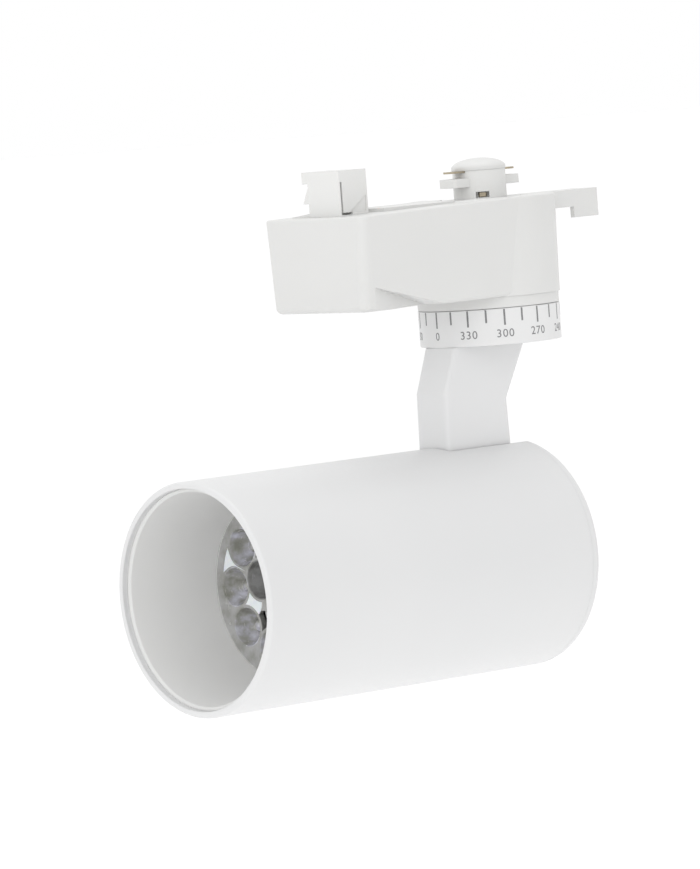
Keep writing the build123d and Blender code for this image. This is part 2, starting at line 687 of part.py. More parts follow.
def cell_centres():
    """Centres of the optical cells in (y, z): an outer ring and an inner one."""
    outer = [polar(OUTER_CELL_PITCH_R, i * 360 / OUTER_CELLS) for i in range(OUTER_CELLS)]
    inner = [polar(INNER_CELL_PITCH_R, INNER_CELL_START + i * 360 / INNER_CELLS) for i in range(INNER_CELLS)]
    return [(y, HEAD_Z + z) for y, z in outer + inner]


def led_board():
    board = disc_x(28.0, SINK_FRONT_X - BOARD_T, SINK_FRONT_X)
    for y, z in led_board_holes():
        board -= disc_x(CLEAR_R, SINK_FRONT_X - BOARD_T - 1, SINK_FRONT_X + 1, y, z)
    return board


def led_board_screws():
    for y, z in led_board_holes():
        yield Pos(SINK_FRONT_X - BOARD_T, y, z) * Rot(0, -90, 0) * screw(5, 2.5, 1.1)


def led_packages():
    half = LED_SIZE / 2
    x1 = SINK_FRONT_X - BOARD_T
    for y, z in cell_centres():
        yield block(x1 - LED_T, x1, y - half, y + half, z - half, z + half)


def lens_array():
    plate = disc_x(LENS_R, LENS_X, LENS_X + LENS_T)
    root = LENS_X + LENS_T
    tip = SINK_FRONT_X - BOARD_T - LED_T - 0.8
    for y, z in cell_centres():
        cup = Pos(root, y, z) * Rot(0, 90, 0) * Cone(CELL_R, CELL_TIP_R, tip - root, align=UP)
        plate += cup
        plate -= disc_x(CELL_R - 0.5, LENS_X - 1, LENS_X + 0.9, y, z)
    return plate


def lens_holder():
    step = LENS_X + LENS_T
    body = ring_x(TUBE_IN_R - 0.2, LENS_R + 0.1, LENS_X, step)
    return body + ring_x(TUBE_IN_R - 0.2, 28.2, step, SINK_FRONT_X)


def anti_glare_cone():
    exit_x = LENS_X - 0.05
    profile = [
        (LIP_X, TUBE_IN_R - 0.6),
        (LIP_X + 0.7, LIP_IN_R),
        (exit_x, CONE_EXIT_R),
        (exit_x, TUBE_IN_R - 0.2),
        (exit_x - CONE_FLANGE_T, TUBE_IN_R - 0.2),
        (exit_x - CONE_FLANGE_T, CONE_EXIT_R + 1.5),
        (LIP_X + 2.5, TUBE_IN_R - 0.05),
        (LIP_X, TUBE_IN_R - 0.05),
    ]
    face = make_face(Polyline(*[(x, 0, HEAD_Z + r) for x, r in profile], close=True))
    return revolve(face, axis=Axis((0, 0, HEAD_Z), (1, 0, 0)))


def pivot_bracket():
    t = SHEET_T
    x0, x1 = SINK_REAR_X, CAP_SEAM_X - 0.1
    floor_z = SLOT_FLOOR_Z - 0.1
    outer = CHEEK_IN + t
    plate = block(x0, x0 + t, -15.5, 15.5, HEAD_Z - 12, HEAD_Z + 12)
    plate -= block(x0 - 1, x0 + t + 1, -4, 4, HEAD_Z + 1, HEAD_Z + 20)
    body = plate + block(x0, x1, -outer, outer, floor_z - t, floor_z)
    profile = [
        (x0, floor_z - t),
        (x1, floor_z - t),
        (x1, floor_z),
        (PIVOT_X + 9, PIVOT_Z + 8),
        (PIVOT_X - 9, PIVOT_Z + 8),
        (x0, HEAD_Z + 12),
    ]
    for y in (-outer, CHEEK_IN):
        body += side_prism(profile, y, y + t)
    body += block(x1 - t, x1, -CAP_SCREW_Y - 4, CAP_SCREW_Y + 4, CAP_SCREW_Z - 4, floor_z)
    body -= disc_y(PIN_R + 0.02, -20, 20)
    for y, z in bracket_holes():
        body -= disc_x(CLEAR_R, x0 - 1, x0 + t + 1, y, z)
        body -= disc_x(3.0, x0 + t, x0 + 8, y, z)
    for y in (-CAP_SCREW_Y, CAP_SCREW_Y):
        body -= disc_x(CLEAR_R, x1 - t - 1, x1 + 1, y, CAP_SCREW_Z)
    return body


def bracket_screws():
    for y, z in bracket_holes():
        yield Pos(SINK_REAR_X + SHEET_T, y, z) * Rot(0, 90, 0) * screw(7, 2.8, 1.5)


def pivot_pin():
    outer = CHEEK_IN + SHEET_T
    pin = disc_y(PIN_R, -outer - 2.2, outer + 3.0)
    pin += disc_y(5.5, outer, outer + 2.6)
    pin -= disc_y(PIN_R + 1, -outer - 1.25, -outer - 0.2) - disc_y(PIN_R - 0.6, -outer - 3, outer)
    return pin


def pin_clip():
    outer = CHEEK_IN + SHEET_T
    clip = disc_y(5.2, -outer - 1.15, -outer - 0.3) - disc_y(PIN_R - 0.55, -outer - 3, -outer + 1)
    return clip - block(PIVOT_X - 1.2, PIVOT_X + 1.2, -outer - 3, -outer + 1, PIVOT_Z, PIVOT_Z + 8)


def tilt_washers():
    for side in (-1, 1):
        y0, y1 = sorted((side * (ARM_HALF + 0.1), side * (ARM_HALF + 0.1 + TILT_WASHER_T)))
        yield disc_y(8.0, y0, y1) - disc_y(PIN_R + 0.05, y0 - 1, y1 + 1)


SINGLE_NODES = (
    adapter_shell,
    bottom_cover,
    bearing_collar,
    tower_insert,
    terminal_block,
    driver_board,
    driver_capacitor,
    driver_inductor,
    lock_core,
    lock_cap,
    side_contact,
    lock_lever,
    lock_retainer,
    lock_screw,
    dial_ring,
    arm,
    turn_hub,
    stop_pin,
    dial_friction_washer,
    stud_washer,
    stud_nut,
    lamp_tube,
    rear_cap,
    heat_sink,
    led_board,
    lens_array,
    lens_holder,
    anti_glare_cone,
    pivot_bracket,
    pivot_pin,
    pin_clip,
)
GROUP_NODES = (
    collar_screws,
    cover_screws,
    tower_contacts,
    terminal_screws,
    board_standoffs,
    board_screws,
    driver_transformer,
    contact_blades,
    hub_screws,
    tube_screws,
    cap_screws,
    led_board_screws,
    led_packages,
    bracket_screws,
    tilt_washers,
)

for node in SINGLE_NODES:
    save(node.__name__, node())
for node in GROUP_NODES:
    group(node.__name__, node())
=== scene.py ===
import json
import math

import bmesh
import bpy
from mathutils import Matrix, Vector
from mathutils.geometry import delaunay_2d_cdt


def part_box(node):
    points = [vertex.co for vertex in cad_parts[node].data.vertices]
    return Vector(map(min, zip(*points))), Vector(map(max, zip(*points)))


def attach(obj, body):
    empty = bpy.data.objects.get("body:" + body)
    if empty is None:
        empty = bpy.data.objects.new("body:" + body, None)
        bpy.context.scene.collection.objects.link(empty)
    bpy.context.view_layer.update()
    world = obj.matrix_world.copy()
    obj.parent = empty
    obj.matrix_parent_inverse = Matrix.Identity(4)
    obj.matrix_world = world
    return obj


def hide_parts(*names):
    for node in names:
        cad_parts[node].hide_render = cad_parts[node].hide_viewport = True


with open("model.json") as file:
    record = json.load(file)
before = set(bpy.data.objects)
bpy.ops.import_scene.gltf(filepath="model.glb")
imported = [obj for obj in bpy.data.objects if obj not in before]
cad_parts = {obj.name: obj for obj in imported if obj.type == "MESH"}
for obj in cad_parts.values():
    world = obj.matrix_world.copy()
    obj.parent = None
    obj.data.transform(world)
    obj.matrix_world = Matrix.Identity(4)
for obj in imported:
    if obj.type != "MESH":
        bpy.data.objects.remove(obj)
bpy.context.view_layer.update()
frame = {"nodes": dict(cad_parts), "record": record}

MM = 0.001
LOOK_ROUND_SAMPLES = 6
NODES = frame["nodes"]
scene = bpy.context.scene


# ---------------------------------------------------------------- materials

def set_range(node, low, high, to_low, to_high):
    """Fills in the four numbers of a Map Range node."""
    names = ("From Min", "From Max", "To Min", "To Max")
    for name, number in zip(names, (low, high, to_low, to_high)):
        node.inputs[name].default_value = number


class Shader:
    """A principled material and short ways to add the nodes that feed it."""

    def __init__(self, name):
        self.material = bpy.data.materials.new(name)
        self.material.use_nodes = True
        self.nodes = self.material.node_tree.nodes
        self.links = self.material.node_tree.links
        self.surface = self.nodes["Principled BSDF"]
        self.place = self.nodes.new("ShaderNodeTexCoord").outputs["Object"]
        self.bump_normal = None

    def set(self, **values):
        for socket, value in values.items():
            self.surface.inputs[socket.replace("_", " ")].default_value = value

    def stretched(self, scale):
        mapping = self.nodes.new("ShaderNodeMapping")
        mapping.inputs["Scale"].default_value = scale
        self.links.new(self.place, mapping.inputs["Vector"])
        return mapping.outputs["Vector"]

    def noise(self, scale, detail=3.0, rough=0.55, place=None):
        node = self.nodes.new("ShaderNodeTexNoise")
        node.inputs["Scale"].default_value = scale
        node.inputs["Detail"].default_value = detail
        node.inputs["Roughness"].default_value = rough
        self.links.new(place or self.place, node.inputs["Vector"])
        return node.outputs["Fac"]

    def cells(self, scale):
        node = self.nodes.new("ShaderNodeTexVoronoi")
        node.inputs["Scale"].default_value = scale
        self.links.new(self.place, node.inputs["Vector"])
        return node.outputs["Distance"]

    def ranged(self, value, low, high, to_low, to_high):
        node = self.nodes.new("ShaderNodeMapRange")
        set_range(node, low, high, to_low, to_high)
        self.links.new(value, node.inputs["Value"])
        return node.outputs["Result"]

    def math(self, operation, a, b):
        node = self.nodes.new("ShaderNodeMath")
        node.operation = operation
        for socket, value in zip(node.inputs, (a, b)):
            if isinstance(value, (int, float)):
                socket.default_value = value
            else:
                self.links.new(value, socket)
        return node.outputs["Value"]

    def crevice(self, distance):
        """1 in the open, falling towards 0 in corners closer than distance."""
        node = self.nodes.new("ShaderNodeAmbientOcclusion")
        node.samples = LOOK_ROUND_SAMPLES
        node.inputs["Distance"].default_value = distance
        return node.outputs["AO"]

    def ramp(self, value, *stops):
        node = self.nodes.new("ShaderNodeValToRGB")
        elements = node.color_ramp.elements
        while len(elements) < len(stops):
            elements.new(0.5)
        for element, (position, colour) in zip(elements, stops):
            element.position = position
            element.color = (*colour, 1.0)
        self.links.new(value, node.inputs["Fac"])
        return node.outputs["Color"]

    def tinted(self, factor, a, b):
        """Colour a where factor is 0 and b where it is 1; each is a colour or a socket."""
        node = self.nodes.new("ShaderNodeMix")
        node.data_type = "RGBA"
        self.links.new(factor, node.inputs[0])
        for socket, value in ((node.inputs[6], a), (node.inputs[7], b)):
            if isinstance(value, tuple):
                socket.default_value = (*value, 1.0)
            else:
                self.links.new(value, socket)
        return node.outputs[2]

    def bump(self, height, strength, distance):
        node = self.nodes.new("ShaderNodeBump")
        node.inputs["Strength"].default_value = strength
        node.inputs["Distance"].default_value = distance
        self.links.new(height, node.inputs["Height"])
        if self.bump_normal is not None:
            self.links.new(self.bump_normal, node.inputs["Normal"])
        self.bump_normal = node.outputs["Normal"]

    def soft_edges(self, radius):
        """Rounds the look of edges too fine to model."""
        node = self.nodes.new("ShaderNodeBevel")
        node.samples = LOOK_ROUND_SAMPLES
        node.inputs["Radius"].default_value = radius
        self.bump_normal = node.outputs["Normal"]

    def finish(self, colour, roughness):
        self.links.new(colour, self.surface.inputs["Base Color"])
        self.links.new(roughness, self.surface.inputs["Roughness"])
        if self.bump_normal is not None:
            self.links.new(self.bump_normal, self.surface.inputs["Normal"])
        return self.material


def moulded_plastic(name, light, shade, rough, grain=3600, grain_depth=0.02, glow=0.06):
    """Satin injection moulding: fine spark-eroded grain, faint flow shading, and painted shade darkening
    the corners in patches.
    """
    s = Shader(name)
    s.soft_edges(0.25 * MM)
    s.set(IOR=1.50, Subsurface_Weight=glow, Subsurface_Scale=0.0012)
    s.surface.inputs["Subsurface Radius"].default_value = (1.0, 0.9, 0.8)
    flow = s.noise(22, 2.0, place=s.stretched((1.0, 0.6, 1.6)))
    # painted shade: darkens the colour where corners close in, broken up by a fine noise
    corner_shade = s.math("MULTIPLY", s.ranged(s.crevice(1.2 * MM), 0.2, 0.9, 1.0, 0.0), s.noise(900, 4.0))
    body = s.tinted(s.ranged(flow, 0.3, 0.7, 0.0, 1.0), light, shade)
    # the darker tone of the painted corner shade
    corner_shade_tone = tuple(c * d for c, d in zip(shade, (0.90, 0.89, 0.87)))
    colour = s.tinted(s.ranged(corner_shade, 0.2, 0.9, 0.0, 0.5), body, corner_shade_tone)
    handled = s.noise(60, 5.0, 0.6)
    s.bump(s.noise(grain, 3.0, 0.6), 0.35, grain_depth * MM)
    s.bump(s.noise(45, 1.0), 0.12, 0.35 * MM)
    return s.finish(colour, s.ranged(handled, 0.3, 0.7, rough - 0.06, rough + 0.07))


def powder_coat(name, light, shade, rough):
    """Satin powder coating: orange peel, specks, painted shade in the corners, and a slightly tighter
    gloss where it flowed flat.
    """
    s = Shader(name)
    s.soft_edges(0.3 * MM)
    s.set(IOR=1.50, Coat_Weight=0.08, Coat_Roughness=0.3)
    drift = s.noise(14, 2.0)
    speck = s.ranged(s.cells(1500), 0.0, 0.18, 1.0, 0.0)
    body = s.tinted(s.ranged(drift, 0.3, 0.7, 0.0, 1.0), light, shade)
    speckled = s.tinted(s.math("MULTIPLY", speck, 0.35), body, tuple(c * 0.93 for c in shade))
    # painted shade: darkens the colour in the corners
    corner_shade = s.ranged(s.crevice(1.2 * MM), 0.2, 0.9, 0.3, 0.0)
    colour = s.tinted(corner_shade, speckled, tuple(c * 0.90 for c in shade))
    peel = s.noise(950, 2.0, 0.45)
    s.bump(peel, 0.3, 0.03 * MM)
    s.bump(s.noise(4200, 2.0), 0.15, 0.01 * MM)
    return s.finish(colour, s.ranged(peel, 0.3, 0.7, rough - 0.05, rough + 0.06))


def bare_metal(name, light, shade, rough, lay=(1.0, 1.0, 1.0), brushed=2200):
    """Machined or rolled metal: fine directional lines, tarnish in patches and in corners."""
    s = Shader(name)
    s.soft_edges(0.12 * MM)
    s.set(Metallic=1.0)
    lines = s.noise(brushed, 3.0, 0.6, place=s.stretched(lay))
    patches = s.noise(160, 4.0, 0.6)
    body = s.tinted(s.ranged(patches, 0.35, 0.7, 0.0, 1.0), light, shade)
    tarnish = s.ranged(s.crevice(1.5 * MM), 0.3, 0.95, 0.6, 0.0)
    colour = s.tinted(tarnish, body, tuple(c * 0.6 for c in shade))
    s.bump(lines, 0.25, 0.012 * MM)
    return s.finish(colour, s.ranged(lines, 0.3, 0.7, rough - 0.07, rough + 0.1))


def circuit_board(name):
    """Green solder resist with copper runs showing through and tinned pads."""
    s = Shader(name)
    s.set(IOR=1.52, Coat_Weight=0.4, Coat_Roughness=0.15)
    runs = s.nodes.new("ShaderNodeTexBrick")
    runs.inputs["Scale"].default_value = 110
    runs.inputs["Mortar Size"].default_value = 0.09
    runs.inputs["Color1"].default_value = runs.inputs["Color2"].default_value = (0, 0, 0, 1)
    runs.inputs["Mortar"].default_value = (1, 1, 1, 1)
    s.links.new(s.place, runs.inputs["Vector"])
    pads = s.ranged(s.cells(420), 0.16, 0.2, 1.0, 0.0)
    resist = s.tinted(s.noise(300, 3.0), (0.012, 0.09, 0.035), (0.02, 0.14, 0.05))
    traced = s.tinted(runs.outputs["Color"], resist, (0.04, 0.24, 0.08))
    colour = s.tinted(pads, traced, (0.55, 0.54, 0.50))
    s.bump(runs.outputs["Color"], 0.4, 0.04 * MM)
    return s.finish(colour, s.ranged(s.noise(700, 2.0), 0.3, 0.7, 0.3, 0.45))


def phosphor(name):
    """Phosphor gel: warm yellow, grainy, slightly domed."""
    s = Shader(name)
    s.set(IOR=1.45, Subsurface_Weight=0.2, Subsurface_Scale=0.0005)
    grain = s.noise(5200, 3.0, 0.7)
    colour = s.ramp(grain, (0.3, (0.72, 0.50, 0.09)), (0.7, (0.88, 0.70, 0.20)))
    s.bump(grain, 0.3, 0.02 * MM)
    return s.finish(colour, s.ranged(grain, 0.3, 0.7, 0.25, 0.4))


def clear_optic(name, *stops):
    """Moulded acrylic with what lies behind it painted in: cloudy patches of painted refraction and
    reflection under a polished skin.
    """
    s = Shader(name)
    s.set(Metallic=0.35, IOR=1.49, Coat_Weight=0.4, Coat_Roughness=0.1)
    patches = s.noise(210, 3.0, 0.6)
    rings = s.noise(1500, 2.0, 0.5, place=s.stretched((1.0, 0.15, 0.15)))
    s.bump(rings, 0.2, 0.03 * MM)
    return s.finish(s.ramp(patches, *stops), s.ranged(rings, 0.3, 0.7, 0.16, 0.28))


def frosted_optic(name):
    """Frosted lands of the optic: bright, matt, with a cool pearly cast in patches."""
    s = Shader(name)
    s.set(IOR=1.49, Subsurface_Weight=0.15, Subsurface_Scale=0.0008)
    cloud = s.noise(320, 3.0, 0.6)
    colour = s.ramp(cloud, (0.3, (0.86, 0.86, 0.92)), (0.7, (0.95, 0.95, 0.93)))
    s.bump(s.noise(3800, 2.0), 0.25, 0.015 * MM)
    return s.finish(colour, s.ranged(cloud, 0.3, 0.7, 0.35, 0.5))


def print_ink(name):
    """Pad-printed grey ink, a little thin in places."""
    s = Shader(name)
    s.set(IOR=1.48)
    thin = s.noise(2600, 4.0, 0.65)
    full, worn, faint = (0.16, 0.16, 0.165), (0.23, 0.23, 0.235), (0.33, 0.33, 0.33)
    colour = s.ramp(thin, (0.30, full), (0.62, worn), (0.80, faint))
    s.bump(thin, 0.25, 0.01 * MM)
    return s.finish(colour, s.ranged(thin, 0.3, 0.7, 0.45, 0.6))


def studio_floor(name):
    """Plain pale floor, matt, with a faint roller texture."""
    s = Shader(name)
    s.set(IOR=1.4, Emission_Color=(1.0, 1.0, 1.0, 1.0), Emission_Strength=0.13)
    cloud = s.noise(2.5, 3.0)
    colour = s.ramp(cloud, (0.3, (0.90, 0.90, 0.90)), (0.7, (0.93, 0.93, 0.93)))
    s.bump(s.noise(260, 3.0), 0.1, 0.3 * MM)
    return s.finish(colour, s.ranged(cloud, 0.3, 0.7, 0.75, 0.85))


# each finish: its light and shade colours, then how rough it is
FINISHES = {
    "white_plastic": moulded_plastic(
        "satin_white_moulding", (0.687, 0.687, 0.677), (0.669, 0.669, 0.659), 0.42),
    # painted light: a lighter copy of the white plastic, offsetting the shade under the lug and on the
    # tower's side
    "lit_white_plastic": moulded_plastic(
        "lit_satin_white_moulding", (0.740, 0.740, 0.728), (0.722, 0.722, 0.710), 0.42),
    "dial_plastic": moulded_plastic(
        "dial_moulding", (0.740, 0.740, 0.740), (0.722, 0.722, 0.722), 0.40, glow=0.08),
    "cone_white": moulded_plastic(
        "matt_liner", (0.728, 0.728, 0.720), (0.713, 0.713, 0.705), 0.55, grain=2400, glow=0.04),
    "black_plastic": moulded_plastic(
        "black_moulding", (0.030, 0.030, 0.032), (0.022, 0.022, 0.024), 0.45, glow=0.0),
    "nylon": moulded_plastic(
        "natural_nylon", (0.62, 0.61, 0.55), (0.54, 0.53, 0.47), 0.45, glow=0.3),
    "capacitor_sleeve": moulded_plastic(
        "shrink_sleeve", (0.020, 0.022, 0.035), (0.014, 0.015, 0.025), 0.25, glow=0.0),
    "ferrite": moulded_plastic(
        "ferrite", (0.060, 0.058, 0.056), (0.042, 0.041, 0.040), 0.60, grain=1500, glow=0.0),
    "white_paint": powder_coat(
        "white_powder_coat", (0.705, 0.706, 0.708), (0.687, 0.689, 0.692), 0.40),
    # painted light: a lighter copy of the white paint, offsetting the shade on the arm's sides under the
    # box
    "lit_white_paint": powder_coat(
        "lit_white_powder_coat", (0.738, 0.739, 0.741), (0.720, 0.722, 0.725), 0.40),
    "aluminium": bare_metal(
        "raw_aluminium", (0.70, 0.71, 0.72), (0.58, 0.59, 0.60), 0.38, lay=(0.06, 1.0, 1.0)),
    "zinc_steel": bare_metal(
        "zinc_plate", (0.62, 0.62, 0.63), (0.50, 0.51, 0.53), 0.30),
    "brass": bare_metal(
        "tarnished_brass", (0.50, 0.43, 0.31), (0.34, 0.30, 0.24), 0.36, lay=(0.1, 1.0, 1.0)),
    "circuit_board": circuit_board("solder_resist"),
    "led_phosphor": phosphor("phosphor_gel"),
}

# parts whose finish is not the one of their material slot: lighter copies of the white plastic and white
# paint, painted light offsetting the shade these parts sit in
OWN_FINISH = {"arm": "lit_white_paint", "lock_core": "lit_white_plastic", "tower_insert": "lit_white_plastic"}

for row in frame["record"]["subparts"]:
    node = NODES[row["node"]]
    finish = FINISHES.get(OWN_FINISH.get(row["node"], row["material_slot"]))
    if finish is not None:
        node.data.materials.clear()
        node.data.materials.append(finish)


# ---------------------------------------------------------------- mesh helpers

def new_piece(name, mesh, finish, body):
    """A visual piece that rides on a body; finish is one material or a tuple of them."""
    piece = bpy.data.objects.new(name, mesh)
    scene.collection.objects.link(piece)
    for material in finish if isinstance(finish, tuple) else (finish,):
        piece.data.materials.append(material)
    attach(piece, body)
    return piece


def shade_by_angle(mesh, degrees):
    """Smooth shading, with sharp edges where faces meet at more than this angle."""
    for face in mesh.polygons:
        face.use_smooth = True
    mesh.set_sharp_from_angle(angle=math.radians(degrees))


def mesh_from(bm, name):
    """Turns the finished bmesh into a mesh and frees it."""
    bmesh.ops.recalc_face_normals(bm, faces=bm.faces)
    mesh = bpy.data.meshes.new(name)
    bm.to_mesh(mesh)
    bm.free()
    return mesh


def revolve(bm, profile, place, steps, material_index):
    """Turns a profile of (radius, height) points about the z axis of the matrix place."""
    rings = []
    for radius, height in profile:
        if radius < 1e-9:
            rings.append([bm.verts.new(place @ Vector((0, 0, height)))])
        else:
            rings.append([
                bm.verts.new(place @ Vector((radius * math.cos(t), radius * math.sin(t), height)))
                for t in (math.tau * i / steps for i in range(steps))
            ])
    for a, b in zip(rings, rings[1:]):
        for i in range(steps):
            j = (i + 1) % steps
            corners = [a[i % len(a)], a[j % len(a)], b[j % len(b)], b[i % len(b)]]
            corners = [v for n, v in enumerate(corners) if v not in corners[:n]]
            if len(corners) > 2:
                bm.faces.new(corners).material_index = material_index


def inside(point, loop):
    """Whether a flat point lies within a closed loop of points."""
    crossings = 0
    for (x1, y1), (x2, y2) in zip(loop, loop[1:] + loop[:1]):
        if (y1 > point.y) != (y2 > point.y):
            crossings += point.x < x1 + (x2 - x1) * (point.y - y1) / (y2 - y1)
    return crossings % 2 == 1


def slab(bm, loops, low, high, place, material_index):
    """A closed plate between heights low and high, inside the first loop and outside the others."""
    points = [Vector(point) for loop in loops for point in loop]
    edges = []
    for loop in loops:
        start = len(edges)
        edges += [(start + i, start + (i + 1) % len(loop)) for i in range(len(loop))]
    flat, _, triangles, *_ = delaunay_2d_cdt(points, edges, [], 1, 1e-9)
    corners = [bm.verts.new(place @ Vector((p.x, p.y, low))) for p in flat]
    sheet = []
    for triangle in triangles:
        middle = sum((flat[i] for i in triangle), Vector((0.0, 0.0))) / 3
        if sum(inside(middle, loop) for loop in loops) == 1:
            sheet.append(bm.faces.new([corners[i] for i in triangle]))
    grown = bmesh.ops.extrude_face_region(bm, geom=sheet, use_keep_orig=True)["geom"]
    lift = place.to_3x3() @ Vector((0, 0, high - low))
    for item in grown:
        if isinstance(item, bmesh.types.BMVert):
            item.co += lift
    for corner in corners:
        for face in corner.link_faces:
            face.material_index = material_index
    for item in grown:
        if isinstance(item, bmesh.types.BMFace):
            item.material_index = material_index
    bmesh.ops.delete(bm, geom=[v for v in corners if not v.link_faces], context="VERTS")


def circle(radius, centre=(0.0, 0.0), steps=96):
    turns = (math.tau * i / steps for i in range(steps))
    return [(centre[0] + radius * math.cos(t), centre[1] + radius * math.sin(t)) for t in turns]


# ---------------------------------------------------------------- lens

lens_low, lens_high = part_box("lens_array")
LENS_CENTRE = (lens_low + lens_high) / 2
LENS_R = (lens_high.y - lens_low.y) / 2
CELL_R = 6.45 * MM
CELL_FLOOR = 6.3 * MM
LIP_W, LIP_R = 0.35 * MM, 0.17 * MM
THROAT_R = 2.5 * MM
DOME_R, DOME_H = 2.3 * MM, 2.6 * MM
PLATE_T = 2.0 * MM
OUTER_PITCH_R, INNER_PITCH_R = 19.8 * MM, 7.55 * MM
OUTER_ANGLES = range(0, 360, 40)
INNER_ANGLES = range(20, 360, 120)
# lands are raised and frosted, between outer cells and between the two rings; openings lie between them
LAND_RISE = 0.15 * MM
LAND_GAP = 0.3 * MM
LAND_OUTER_R = 25.4 * MM
OUTER_LAND_R, INNER_LAND_R = 22.0 * MM, 13.07 * MM
INNER_LAND_REACH = 5.2 * MM
INNER_LAND_GAP = 0.75 * MM
OPENING_GAP, OPENING_REACH = 0.7 * MM, 4.0 * MM
BEAD_R, BEAD_STEPS = 0.35 * MM, 8
CELL_STEPS, RIM_STEPS = 64, 160
FLANGE, OUTER_CELL, SHADED_CELL, LAND, BEAD = range(5)
# local x and y are the lens's y and z, local z runs into the lamp
INTO_LAMP = Matrix((
    (0, 0, 1, lens_low.x),
    (1, 0, 0, LENS_CENTRE.y),
    (0, 1, 0, LENS_CENTRE.z),
    (0, 0, 0, 1),
))


def flat_polar(radius, degrees):
    turn = math.radians(degrees)
    return Vector((radius * math.cos(turn), radius * math.sin(turn)))


def cell_profile(lip_steps=4, wall_steps=16, dome_steps=8):
    """Bead at the mouth, parabolic wall, and the small dome over the light source."""
    mouth = CELL_R - LIP_W
    profile = [(CELL_R + 0.02 * MM, 0.6 * MM), (CELL_R, 0.0)]
    for i in range(lip_steps + 1):
        t = math.pi * i / lip_steps
        profile.append((mouth + LIP_R * (1 + math.cos(t)), 0.05 * MM - 0.03 * MM * math.sin(t)))
    for i in range(1, wall_steps + 1):
        t = i / wall_steps
        profile.append((math.sqrt(THROAT_R ** 2 + (mouth ** 2 - THROAT_R ** 2) * (1 - t)), CELL_FLOOR * t))
    for i in range(dome_steps + 1):
        t = math.pi / 2 * i / dome_steps
        profile.append((DOME_R * math.cos(t), CELL_FLOOR - DOME_H * math.sin(t)))
    return profile


def web_outline(cells, middle, gap, reach, steps=144):
    """Outline of the web round a point: out to the cells about it, less a gap, at most reach away."""
    radius = CELL_R + gap
    outline = []
    for i in range(steps):
        way = flat_polar(1.0, 360.0 * i / steps)
        across = middle.dot(way)
        run = min(reach, math.sqrt(across ** 2 - middle.length_squared + LAND_OUTER_R ** 2) - across)
        for cell in cells:
            along = (cell - middle).dot(way)
            off = (cell - middle).length_squared - along ** 2
            if along > 0 and off < radius ** 2:
                run = min(run, along - math.sqrt(radius ** 2 - off))
        outline.append(middle + way * run)
    return outline


def make_lens():
    outer = [flat_polar(OUTER_PITCH_R, angle) for angle in OUTER_ANGLES]
    inner = [flat_polar(INNER_PITCH_R, angle) for angle in INNER_ANGLES]
    cells = outer + inner
    openings = [
        web_outline(cells, flat_polar(INNER_LAND_R, angle + 40), OPENING_GAP, OPENING_REACH)
        for angle in INNER_ANGLES
    ]
    bm = bmesh.new()
    holes = [circle(CELL_R, cell) for cell in cells] + openings
    slab(bm, [circle(LENS_R, steps=RIM_STEPS)] + holes, 0.0, PLATE_T, INTO_LAMP, FLANGE)
    for ring, slot in ((outer, OUTER_CELL), (inner, SHADED_CELL)):
        for cell in ring:
            revolve(bm, cell_profile(), INTO_LAMP @ Matrix.Translation((*cell, 0)), CELL_STEPS, slot)
    for angle in INNER_ANGLES:
        places = (
            (flat_polar(OUTER_LAND_R, angle), LAND_GAP, CELL_R),
            (flat_polar(INNER_LAND_R, angle - 40), INNER_LAND_GAP, INNER_LAND_REACH),
        )
        for place in places:
            outline = web_outline(cells, *place)
            slab(bm, [outline], -LAND_RISE, LAND_RISE, INTO_LAMP, LAND)
    bead = [
        (LENS_R - BEAD_R + BEAD_R * math.cos(t), 0.8 * BEAD_R - BEAD_R * math.sin(t))
        for t in (math.pi * i / BEAD_STEPS for i in range(BEAD_STEPS + 1))
    ]
    revolve(bm, bead, INTO_LAMP, RIM_STEPS, BEAD)
    mesh = mesh_from(bm, "lens_optic")
    shade_by_angle(mesh, 32)
    # painted shade: the inner cells are coloured dark to stand in for the shade deep inside them
    dark = ((0.34, (0.19, 0.19, 0.18)), (0.62, (0.34, 0.34, 0.34)))
    # painted refraction and reflection: grey patches with a pale bluish light zone
    grey = (
        (0.32, (0.30, 0.30, 0.26)),
        (0.46, (0.43, 0.43, 0.41)),
        (0.56, (0.52, 0.52, 0.56)),
        (0.70, (0.74, 0.74, 0.84)),
    )
    lands = ((0.35, (0.38, 0.38, 0.36)), (0.65, (0.52, 0.52, 0.52)))
    # painted highlight: the bead round the rim is coloured light
    rim = ((0.35, (0.66, 0.66, 0.64)), (0.65, (0.74, 0.74, 0.73)))
    finish = (
        clear_optic("lens_flange", *lands),
        clear_optic("lens_cells", *grey),
        clear_optic("lens_shaded_cells", *dark),
        frosted_optic("lens_lands"),
        clear_optic("lens_bead_highlight", *rim),
    )
    piece = new_piece("lens_optic", mesh, finish, "head")
    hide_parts("lens_array")


make_lens()


# ---------------------------------------------------------------- dial print

dial_low, dial_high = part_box("dial_ring")
DIAL_R = (dial_high.y - dial_low.y) / 2
DIAL_TOP = dial_high.z
INK_T = 0.035 * MM
TICK_W = 0.6 * MM
TICK_DROP = 0.25 * MM
TICK_STEP = 15                  # degrees between ticks; every second one is long and numbered
LONG_TICK, SHORT_TICK = 5.2 * MM, 4.2 * MM
DIGIT_H = 2.6 * MM
DIGIT_SHARE = 0.70              # a digit's height in the built-in font, as a share of its size
DIGIT_SPACING = 1.12
STRIP_W = 0.3 * MM              # width of the strips a label is cut into so that it can bend
LABEL_DROP = 8.2 * MM


def on_dial(angle, radius, z):
    """Point on the dial; angle runs from the lamp's side towards -Y."""
    return Vector((-radius * math.cos(angle), -radius * math.sin(angle), z))


